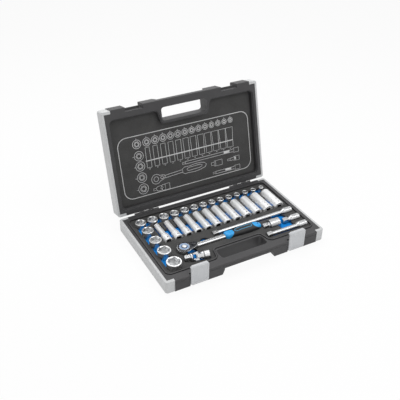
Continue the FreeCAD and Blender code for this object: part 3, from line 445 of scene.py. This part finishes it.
CHARCOAL = moulded_plastic("charcoal_plastic", dark=(0.040, 0.039, 0.041), light=(0.052, 0.051, 0.053),
                           edge=(0.14, 0.14, 0.145), rough=0.5, scale=1500.0, bump=0.35)
SILVER = moulded_plastic("silver_plastic", dark=(0.53, 0.54, 0.545), light=(0.59, 0.60, 0.605),
                         edge=(0.80, 0.80, 0.81), rough=0.42, scale=1500.0, bump=0.25, mottle=0.4)
LATCH = moulded_plastic("latch_plastic", dark=(0.51, 0.525, 0.545), light=(0.57, 0.585, 0.605),
                        edge=(0.82, 0.82, 0.83), rough=0.38, scale=1700.0, bump=0.2, mottle=0.4)
BLACK_FOAM = cut_foam("black_foam", dark=(0.052, 0.0515, 0.051), light=(0.070, 0.0695, 0.069),
                      painted_glint=(0.13, 0.129, 0.128))
BLUE_FOAM = cut_foam("blue_foam", dark=(0.0, 0.19, 0.60), light=(0.0, 0.235, 0.70),
                     painted_glint=(0.03, 0.33, 0.85))
CHROME_UP = satin_chrome("chrome_upright", ALONG_Z, colour=(0.76, 0.765, 0.77), rough=0.26)
# painted light: the deep sockets' chrome is paler than the upright sockets' chrome
CHROME_DEEP = satin_chrome("chrome_deep", ALONG_Y, colour=(0.82, 0.825, 0.83), rough=0.47,
                           painted_bore_shade=True)
# painted shade: the bars' chrome is darker than the sockets' chrome
CHROME_BAR = satin_chrome("chrome_bar", ALONG_X, colour=(0.50, 0.505, 0.51), rough=0.22)
CHROME_DIAL = dial_chrome("chrome_dial")
DARK_CHROME = satin_chrome("dark_chrome", COARSE_ALONG_Z, colour=(0.07, 0.072, 0.08), rough=0.14)
STEEL = satin_chrome("ground_steel", COARSE_ALONG_X, colour=(0.5, 0.5, 0.51), rough=0.28)
GRIP = two_shot_grip("two_shot_grip")
RIM_BLUE = moulded_plastic("label_rim_blue", dark=(0.06, 0.36, 0.62), light=(0.10, 0.44, 0.72),
                           edge=(0.25, 0.58, 0.85), rough=0.38, scale=2600.0, bump=0.1)
PRINT = print_ink("lid_print", colour=(0.80, 0.80, 0.80), thin=0.78)
STAMP = print_ink("size_stamp", colour=(0.05, 0.05, 0.052), thin=0.6)


def dress(name, material):
    slots = nodes[name].data.materials
    slots.clear()
    slots.append(material)


def dress_cad_nodes():
    special = {
        "base_shell": CHARCOAL, "lid_shell": CHARCOAL, "base_left_cap": SILVER, "base_right_cap": SILVER,
        "lid_left_cap": SILVER, "lid_right_cap": SILVER, "latch_left": LATCH, "latch_right": LATCH,
        "latch_pins": STEEL, "hinge_pins": STEEL, "tray_foam_top": BLACK_FOAM, "lid_foam": BLACK_FOAM,
        "tray_foam_base": BLUE_FOAM, "ratchet_cover": DARK_CHROME, "ratchet_ball": STEEL,
        "ratchet_pawl": STEEL, "ratchet_grip": GRIP, "ratchet_grip_trim": GRIP,
        "ratchet_lever": DARK_CHROME, "ratchet_body": CHROME_BAR, "ratchet_drive": CHROME_DIAL,
        "ratchet_button": CHROME_UP,
    }
    for name in nodes:
        if name in special:
            dress(name, special[name])
        elif name.startswith("deep_socket"):
            dress(name, CHROME_DEEP)
        elif name.startswith("socket"):
            dress(name, CHROME_UP)
        else:
            dress(name, CHROME_BAR)


dress_cad_nodes()


# Pieces

def add_piece(name, mesh, material, body):
    mesh.materials.clear()
    mesh.materials.append(material)
    piece = bpy.data.objects.new(name, mesh)
    scene.collection.objects.link(piece)
    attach(piece, body)
    return piece


def merged_copy(name):
    """Node's mesh with its loose triangles merged and its flat faces joined."""
    merge_gap = 0.002 * MM
    flat = math.radians(0.3)
    shape = bmesh.new()
    shape.from_mesh(nodes[name].data)
    bmesh.ops.remove_doubles(shape, verts=shape.verts, dist=merge_gap)
    bmesh.ops.dissolve_limit(shape, angle_limit=flat, verts=shape.verts, edges=shape.edges)
    return shape


def foam_layer(node_name, piece_name, material, body, edge_round):
    """Foam with the cut edges of its pockets and rim eased over."""
    least_turn = math.radians(55)
    shape = merged_copy(node_name)
    sharp = [e for e in shape.edges if e.is_manifold and e.is_convex
             and e.calc_face_angle() > least_turn]
    bmesh.ops.bevel(shape, geom=sharp, offset=edge_round * MM, offset_type="OFFSET", segments=2,
                    profile=0.5, affect="EDGES", clamp_overlap=True)
    mesh = bpy.data.meshes.new(piece_name)
    bmesh.ops.triangulate(shape, faces=[f for f in shape.faces if len(f.verts) > 4])
    shape.to_mesh(mesh)
    shape.free()
    piece = add_piece(piece_name, mesh, material, body)
    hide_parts(node_name)


foam_layer("tray_foam_top", "tray_foam_sheet", BLACK_FOAM, "base", edge_round=0.6)
foam_layer("tray_foam_base", "tray_foam_bed", BLUE_FOAM, "base", edge_round=0.5)
foam_layer("lid_foam", "lid_foam_sheet", BLACK_FOAM, "lid", edge_round=0.6)


# Trees that make lines and figures

def new_shape_tree(name, sizes):
    """Geometry tree with named sizes and a finish; returns the tree, its start and its last socket."""
    tree = bpy.data.node_groups.new(name, "GeometryNodeTree")
    tree.interface.new_socket("Geometry", in_out="INPUT", socket_type="NodeSocketGeometry")
    for label, default in sizes.items():
        socket = tree.interface.new_socket(label, in_out="INPUT", socket_type="NodeSocketFloat")
        socket.default_value = default
    tree.interface.new_socket("Finish", in_out="INPUT", socket_type="NodeSocketMaterial")
    tree.interface.new_socket("Geometry", in_out="OUTPUT", socket_type="NodeSocketGeometry")
    start = add_node(tree, "NodeGroupInput")
    end = add_node(tree, "NodeGroupOutput")
    real = add_node(tree, "GeometryNodeRealizeInstances")
    paint = add_node(tree, "GeometryNodeSetMaterial")
    feed(tree, real.outputs[0], paint.inputs["Geometry"])
    feed(tree, start.outputs["Finish"], paint.inputs["Material"])
    feed(tree, paint.outputs[0], end.inputs[0])
    return tree, start, real.inputs[0]


def sweep(tree, curve, profile, target):
    """Profile carried along flat-lying curves."""
    upright = add_node(tree, "GeometryNodeSetCurveNormal", mode="Z_UP")
    feed(tree, curve, upright.inputs["Curve"])
    solid = add_node(tree, "GeometryNodeCurveToMesh")
    solid.inputs["Fill Caps"].default_value = True
    feed(tree, upright.outputs[0], solid.inputs["Curve"])
    feed(tree, profile, solid.inputs["Profile Curve"])
    feed(tree, solid.outputs[0], target)


def ink_profile(tree, start):
    ink = add_node(tree, "GeometryNodeCurvePrimitiveQuadrilateral")
    feed(tree, start.outputs["Stroke"], ink.inputs["Width"])
    feed(tree, start.outputs["Film"], ink.inputs["Height"])
    return ink.outputs[0]


def make_ink_lines():
    """Lines of ink along the edges of a mesh."""
    sizes = {"Stroke": TOOL_STROKE * MM, "Film": INK_FILM * MM}
    tree, start, target = new_shape_tree("ink_lines", sizes)
    lines = add_node(tree, "GeometryNodeMeshToCurve")
    feed(tree, start.outputs["Geometry"], lines.inputs["Mesh"])
    sweep(tree, lines.outputs[0], ink_profile(tree, start), target)
    return tree


def make_socket_figures():
    """A socket seen from its open end, at each point, as large as the point's size says."""
    sizes = {"Stroke": SOCKET_STROKE * MM, "Film": INK_FILM * MM, "Hexagon": 0.66, "Bore": 0.42}
    tree, start, target = new_shape_tree("socket_figures", sizes)
    figure = add_node(tree, "GeometryNodeJoinGeometry")
    for points, label in ((12, "Bore"), (6, "Hexagon"), (28, None)):
        ring = add_node(tree, "GeometryNodeCurvePrimitiveCircle")
        ring.inputs["Resolution"].default_value = points
        ring.inputs["Radius"].default_value = 1.0
        if label:
            feed(tree, start.outputs[label], ring.inputs["Radius"])
        feed(tree, ring.outputs[0], figure.inputs[0])
    size = add_node(tree, "GeometryNodeInputNamedAttribute", data_type="FLOAT")
    size.inputs["Name"].default_value = "size"
    spread = add_node(tree, "GeometryNodeInstanceOnPoints")
    feed(tree, start.outputs["Geometry"], spread.inputs["Points"])
    feed(tree, figure.outputs[0], spread.inputs["Instance"])
    feed(tree, size.outputs["Attribute"], spread.inputs["Scale"])
    apart = add_node(tree, "GeometryNodeRealizeInstances")
    feed(tree, spread.outputs[0], apart.inputs[0])
    even = add_node(tree, "GeometryNodeSetCurveRadius")
    even.inputs["Radius"].default_value = 1.0
    feed(tree, apart.outputs[0], even.inputs["Curve"])
    sweep(tree, even.outputs[0], ink_profile(tree, start), target)
    return tree


def make_rim_bead():
    """Round bead along the edges of a mesh."""
    tree, start, target = new_shape_tree("rim_bead", {"Bead": 0.5 * MM})
    lines = add_node(tree, "GeometryNodeMeshToCurve")
    feed(tree, start.outputs["Geometry"], lines.inputs["Mesh"])
    round_bead = add_node(tree, "GeometryNodeCurvePrimitiveCircle")
    round_bead.inputs["Resolution"].default_value = 8
    feed(tree, start.outputs["Bead"], round_bead.inputs["Radius"])
    sweep(tree, lines.outputs[0], round_bead.outputs[0], target)
    return tree


def grow(mesh, tree, **values):
    """Plain mesh that a tree makes from a start mesh."""
    holder = bpy.data.objects.new("holder", mesh)
    scene.collection.objects.link(holder)
    shaping = holder.modifiers.new("shaping", "NODES")
    shaping.node_group = tree
    for socket in tree.interface.items_tree:
        if socket.in_out == "INPUT" and socket.name in values:
            shaping[socket.identifier] = values[socket.name]
    graph = bpy.context.evaluated_depsgraph_get()
    made = bpy.data.meshes.new_from_object(holder.evaluated_get(graph), depsgraph=graph)
    bpy.data.objects.remove(holder)
    return made


INK_LINES = make_ink_lines()
SOCKET_FIGURES = make_socket_figures()
RIM_BEAD = make_rim_bead()


# Print on the lid's foam: outlines of the tools, drawn in the closed lid's x and y, in millimetres

def arc(cx, cy, radius, start, stop, steps):
    turns = [math.radians(start + (stop - start) * i / steps) for i in range(steps + 1)]
    return [(cx + radius * math.cos(t), cy + radius * math.sin(t)) for t in turns]


def rounded_rectangle(x0, x1, y0, y1, radius, steps=6):
    points = []
    for cx, cy, turn in ((x1 - radius, y1 - radius, 0), (x0 + radius, y1 - radius, 90),
                         (x0 + radius, y0 + radius, 180), (x1 - radius, y0 + radius, 270)):
        points += arc(cx, cy, radius, turn, turn + 90, steps)
    return points + points[:1]


def rectangle(x0, x1, y0, y1):
    return [(x0, y0), (x1, y0), (x1, y1), (x0, y1), (x0, y0)]


def bar_figure(x0, x1, y, half, head):
    """Bar with its square end at x0 and its thicker head, of the given length, at x1."""
    shoulder = x0 + 9
    neck = x1 - head
    slope = neck - 5
    square_half, head_half = 2.6, half + 3
    square = rectangle(x0, shoulder, y - square_half, y + square_half)
    stem = [(shoulder, y - half), (slope, y - half)], [(shoulder, y + half), (slope, y + half)]
    cone = [(slope, y - half), (neck, y - head_half), (neck, y + head_half), (slope, y + half)]
    return [square, *stem, cone, rectangle(neck, x1, y - head_half, y + head_half)]


def ratchet_figure():
    head_x, head_y = -104.0, 72.0
    head = arc(head_x, head_y, 14.0, 35, 325, 22)
    head += [(-84, 64), (-78, 66), (-76, 69), (-78, 74), (-84, 78)] + head[:1]
    ring = arc(head_x, head_y, 7.0, 0, 360, 18)
    lever = arc(-86.0, 71.0, 4.0, 0, 360, 12)
    shaft = [[(-76, 67.5), (-21, 64.5)], [(-77, 75.0), (-21, 72.0)]]
    grip = [(-21, 62), (-14, 58.5), (0, 59), (20, 56.5), (38, 57), (50, 60), (56, 66), (52, 73),
            (38, 77), (18, 79.5), (-2, 78), (-14, 78.5), (-21, 74), (-21, 62)]
    label = [(-6, 65), (0, 63), (36, 62), (42, 65), (40, 69), (34, 71), (-2, 72), (-7, 69), (-6, 65)]
    return [head, ring, lever, *shaft, grip, label]


def joint_figure():
    y = 101.0
    square = rectangle(-116, -107, y - 3, y + 3)
    fork = [(-107, y - 4), (-101, y - 7), (-90, y - 7), (-90, y - 3), (-96, y), (-90, y + 3),
            (-90, y + 7), (-101, y + 7), (-107, y + 4)]
    far_fork = [(-80, y - 8.5), (-88, y - 8.5), (-92, y - 4), (-86, y), (-92, y + 4), (-88, y + 8.5),
                (-80, y + 8.5)]
    return [square, fork, far_fork, rectangle(-80, -66, y - 9, y + 9)]


def adapter_figure():
    square = rectangle(72, 82, 67.5, 76)
    body = rectangle(82, 108, 64, 80)
    groove = [(86, 64), (86, 80)]
    return [square, body, groove]


def deep_figures():
    """Deep sockets from the side, growing to the right, each with a tick under its drive end."""
    lines = []
    top, step, bottom = -24, 14, 34
    tick_half, tick_top, tick_tip = 2, 37, 39
    count = len(DEEP_SIZES)
    for i in range(count):
        share = i / (count - 1)
        x = -118.0 + 258.0 * share
        half = 6.0 + 5.5 * share
        foot = 6.8 + 2.6 * share
        lines.append([(x - foot, step), (x - half, top), (x + half, top), (x + foot, step)])
        lines.append([(x - foot, step), (x - foot, bottom), (x + foot, bottom), (x + foot, step)])
        lines.append([(x - tick_half, tick_top), (x, tick_tip), (x + tick_half, tick_top)])
    return lines


def socket_places():
    """x, y and radius of the short sockets' figures: a row that shrinks to the right, and a column."""
    count, column_x = 14, -145.0
    row = []
    for i in range(count):
        share = i / (count - 1)
        x = -146.4 + 293.0 * share ** 0.9
        y = -38.5 - 6.5 * share
        row.append((x, y, 12.0 - 4.6 * share ** 0.7))
    column = [(column_x, y, r) for y, r in ((-5.0, 13.2), (24.5, 13.2), (57.0, 13.8), (90.0, 14.6))]
    return row, column


def edge_mesh(lines, z):
    """Mesh of bare edges, in metres, from lists of points in millimetres; closed where they meet."""
    points, edges = [], []
    for line in lines:
        first = len(points)
        closed = line[0] == line[-1]
        kept = line[:-1] if closed else line
        points += [(p[0] * MM, p[1] * MM, (p[2] if len(p) > 2 else z) * MM) for p in kept]
        edges += [(first + i, first + i + 1) for i in range(len(kept) - 1)]
        if closed:
            edges.append((len(points) - 1, first))
    mesh = bpy.data.meshes.new("lines")
    mesh.from_pydata(points, edges, [])
    return mesh


def figure_points(places, z):
    mesh = bpy.data.meshes.new("points")
    mesh.from_pydata([(x * MM, y * MM, z * MM) for x, y, radius in places], [], [])
    size = mesh.attributes.new("size", "FLOAT", "POINT")
    size.data.foreach_set("value", [radius * MM for x, y, radius in places])
    return mesh


def joined(meshes, name):
    shape = bmesh.new()
    for mesh in meshes:
        shape.from_mesh(mesh)
    bmesh.ops.recalc_face_normals(shape, faces=shape.faces)
    whole = bpy.data.meshes.new(name)
    shape.to_mesh(whole)
    shape.free()
    return whole


def print_lid():
    sunk_share = 0.3
    z = LID_FOAM_FACE - sunk_share * INK_FILM
    row, column = socket_places()
    tick_gap, row_tick, column_tick = 1, 3, 4
    ticks = [[(x, y - r - tick_gap), (x, y - r - tick_gap - row_tick)] for x, y, r in row]
    ticks += [[(x - r - tick_gap, y), (x - r - tick_gap - column_tick, y)] for x, y, r in column]
    tools = deep_figures() + ratchet_figure() + joint_figure() + ticks
    bar_end, bar_half, bar_head = 166, 3.6, 16
    for bar_start, y in ((-19, 47.0), (126, 72.0), (75, 100.0)):
        tools += bar_figure(bar_start, bar_end, y, bar_half, bar_head)
    tools += adapter_figure()
    border = [rounded_rectangle(x0=-201, x1=205, y0=-62, y1=111, radius=25)]
    blocks = [[(116, 47), (135, 47)], [(116, 100), (136, 100)], [(149, 72), (155, 72)]]
    band = [[(-127, 14.2), (150, 14.8)]]
    values = {"Film": INK_FILM * MM, "Finish": PRINT}
    meshes = [
        grow(edge_mesh(border, z), INK_LINES, Stroke=BORDER_STROKE * MM, **values),
        grow(edge_mesh(band, z), INK_LINES, Stroke=BAND_STROKE * MM, **values),
        grow(edge_mesh(tools, z), INK_LINES, Stroke=TOOL_STROKE * MM, **values),
        grow(edge_mesh(blocks, z), INK_LINES, Stroke=BLOCK_STROKE * MM, **values),
        grow(figure_points(row + column, z), SOCKET_FIGURES, Stroke=SOCKET_STROKE * MM, **values),
    ]
    whole = joined(meshes, "lid_print")
    whole.transform(LID_OPENING)
    add_piece("lid_print", whole, PRINT, "lid")


print_lid()


# Bead round the bare label field on top of the grip

def label_rim():
    shape = bmesh.new()
    for name in ("ratchet_grip", "ratchet_grip_trim"):
        shape.from_mesh(nodes[name].data)
    skin = BVHTree.FromBMesh(shape)
    shape.free()
    x0, x1, half = 14.0, 66.0, 5.4
    bead_radius, bead_lift = 0.75, 0.15
    corner_steps, straight_steps = 10, 12
    outline = rounded_rectangle(x0, x1, RATCHET_Y - half, RATCHET_Y + half, half, corner_steps)
    path = []
    for (ax, ay), (bx, by) in zip(outline, outline[1:]):
        pieces = straight_steps if abs(bx - ax) > half else 1
        path += [(ax + (bx - ax) * i / pieces, ay + (by - ay) * i / pieces) for i in range(pieces)]
    above, down = 200.0, Vector((0.0, 0.0, -1.0))
    lifted = []
    for x, y in path:
        hit = skin.ray_cast(Vector((x * MM, y * MM, above * MM)), down)[0]
        lifted.append((x, y, hit.z / MM + bead_lift))
    bead = grow(edge_mesh([lifted + lifted[:1]], 0.0), RIM_BEAD, Bead=bead_radius * MM, Finish=RIM_BLUE)
    add_piece("grip_label_rim", joined([bead], "grip_label_rim"), RIM_BLUE, "ratchet")


label_rim()


# Size numbers stamped on the deep sockets

def size_stamp(size):
    """Digits bent round the top of a deep socket."""
    digit_height, relief, strip = 6.0 * MM, 0.05 * MM, 0.6 * MM
    strips_each_side = 8
    node = "deep_socket_%02d" % size
    low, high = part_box(node)
    radius = (high[2] - low[2]) / 2
    axis_x, axis_z = (low[0] + high[0]) / 2, (low[2] + high[2]) / 2
    text = bpy.data.curves.new("digits", "FONT")
    text.body = str(size)
    text.size = digit_height
    text.align_x, text.align_y = "CENTER", "CENTER"
    text.extrude = relief
    holder = bpy.data.objects.new("digits", text)
    scene.collection.objects.link(holder)
    graph = bpy.context.evaluated_depsgraph_get()
    flat = bpy.data.meshes.new_from_object(holder.evaluated_get(graph), depsgraph=graph)
    bpy.data.objects.remove(holder)
    shape = bmesh.new()
    shape.from_mesh(flat)
    for i in range(-strips_each_side, strips_each_side + 1):
        bmesh.ops.bisect_plane(shape, geom=shape.verts[:] + shape.edges[:] + shape.faces[:],
                               plane_co=(i * strip, 0.0, 0.0), plane_no=(1.0, 0.0, 0.0))
    for vert in shape.verts:
        turn = vert.co.x / radius
        reach = radius + vert.co.z
        place_y = low[1] + DEEP_MARK_FROM_FRONT * MM + vert.co.y
        vert.co = Vector((axis_x + reach * math.sin(turn), place_y, axis_z + reach * math.cos(turn)))
    bmesh.ops.recalc_face_normals(shape, faces=shape.faces)
    mesh = bpy.data.meshes.new("stamp")
    shape.to_mesh(mesh)
    shape.free()
    add_piece("size_stamp_%d" % size, mesh, STAMP, node)


for deep_size in DEEP_SIZES:
    size_stamp(deep_size)


# Lights, floor and camera

def seen_directly(tree):
    """1 for rays from the camera and for mirrored or refracted ones."""
    path = add_node(tree, "ShaderNodeLightPath")
    seen = math_node(tree, "MAXIMUM", path.outputs["Is Camera Ray"], path.outputs["Is Glossy Ray"])
    return math_node(tree, "MAXIMUM", seen, path.outputs["Is Transmission Ray"])


def make_world(fill):
    """White room; fill is the share of its light that reaches the surfaces."""
    world = bpy.data.worlds.new("studio")
    scene.world = world
    world.use_nodes = True
    tree = world.node_tree
    back = tree.nodes["Background"]
    back.inputs["Color"].default_value = (1.0, 1.0, 1.0, 1.0)
    feed(tree, remap(tree, seen_directly(tree), 0.0, 1.0, fill, 1.0), back.inputs["Strength"])


def make_floor(glow_share):
    """Pale floor that keeps the shadow; the glow is only for what is seen directly or mirrored."""
    width, drop = 30.0, 0.0002
    bpy.ops.mesh.primitive_plane_add(size=width, location=(0.0, 0.0, -drop))
    floor = bpy.context.object
    floor.name = "studio_floor"
    material, tree, shader = new_material("pale_floor", Roughness=0.9)
    shader.inputs["Base Color"].default_value = (0.92, 0.92, 0.92, 1.0)
    glow = add_node(tree, "ShaderNodeEmission")
    mix = add_node(tree, "ShaderNodeMixShader")
    feed(tree, math_node(tree, "MULTIPLY", seen_directly(tree), glow_share), mix.inputs[0])
    feed(tree, shader.outputs[0], mix.inputs[1])
    feed(tree, glow.outputs[0], mix.inputs[2])
    feed(tree, mix.outputs[0], tree.nodes["Material Output"].inputs["Surface"])
    floor.data.materials.append(material)


def add_softbox(name, place, target, size, power):
    light = bpy.data.lights.new(name, "AREA")
    light.shape = "RECTANGLE"
    light.size, light.size_y = size
    light.energy = power
    holder = bpy.data.objects.new(name, light)
    scene.collection.objects.link(holder)
    holder.location = place
    aim = Vector(target) - Vector(place)
    holder.rotation_euler = aim.to_track_quat("-Z", "Y").to_euler()


def make_camera():
    data = bpy.data.cameras.new("photo_camera")
    camera = bpy.data.objects.new("photo_camera", data)
    scene.collection.objects.link(camera)
    data.sensor_width = 36.0
    data.lens = 54.72
    data.clip_end = 100.0
    place = Matrix.Translation((-0.6907, -1.1316, 1.0057))
    forward = Vector((0.4012, 0.7261, -0.5583)).normalized()
    turn = forward.to_track_quat("-Z", "Y").to_matrix().to_4x4()
    roll = Matrix.Rotation(math.radians(0.851), 4, "Z")
    camera.matrix_world = place @ turn @ roll
    scene.camera = camera


make_world(fill=0.4)
make_floor(glow_share=0.92)
add_softbox("overhead_softbox", place=(-0.15, 0.62, 1.5), target=(0.0, 0.0, 0.03),
            size=(1.7, 1.1), power=15.0)
add_softbox("key_softbox", place=(0.7, -0.7, 1.6), target=(0.0, 0.0, 0.05),
            size=(1.0, 0.9), power=9.0)
add_softbox("fill_softbox", place=(-0.3, -1.5, 0.9), target=(0.0, 0.0, 0.1),
            size=(1.0, 0.8), power=3.0)
make_camera()
scene.view_settings.view_transform = "Standard"
